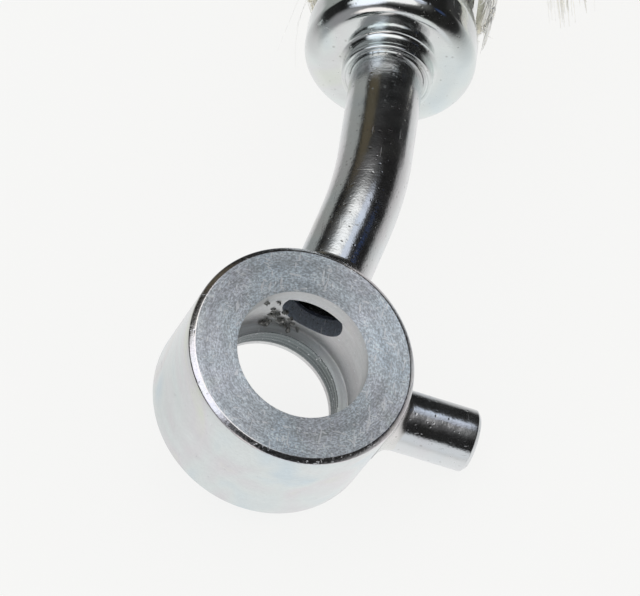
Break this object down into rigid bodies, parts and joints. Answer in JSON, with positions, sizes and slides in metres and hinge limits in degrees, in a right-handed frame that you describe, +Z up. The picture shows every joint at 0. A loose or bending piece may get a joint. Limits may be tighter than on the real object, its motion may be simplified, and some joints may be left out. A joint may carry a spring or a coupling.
{
  "type": "power steering pressure hose",
  "caption": "Fluid hose in a glass fibre sleeve, with crimped ferrules, steel tubes and banjo eyes at both ends; the bent end has a locating pin.",
  "frame": {"origin": "bottom centre of the bent end's own box (eye, pin, tube and ferrule), on the surface that the hose lies on", "axes": "+Z up from that surface, +Y from the bent end's eye towards its hose, +X to the side that the locating pin points to"},
  "size_m": [0.2401, 0.2795, 0.028],
  "materials": {
    "zinc_plate": "bright zinc-plated steel with a faint iridescent tint, semi-gloss",
    "machined_steel": "turned steel, zinc-plated, fine concentric tool marks on the faces",
    "braze": "plated braze fillet, satin",
    "hose_rubber": "matt black rubber",
    "glass_fibre": "woven off-white glass fibre, frayed at its ends"
  },
  "bodies": {
    "root": {"near_banjo_eye": "machined_steel", "near_locating_pin": "zinc_plate", "near_pin_braze": "braze", "near_tube_braze": "braze", "near_tube": "zinc_plate", "near_ferrule": "zinc_plate", "near_insert": "zinc_plate", "hose": "hose_rubber", "fibre_sleeve": "glass_fibre", "far_banjo_eye": "machined_steel", "far_tube_braze": "braze", "far_tube": "zinc_plate", "far_ferrule": "zinc_plate", "far_insert": "zinc_plate"}
  },
  "joints": []
}
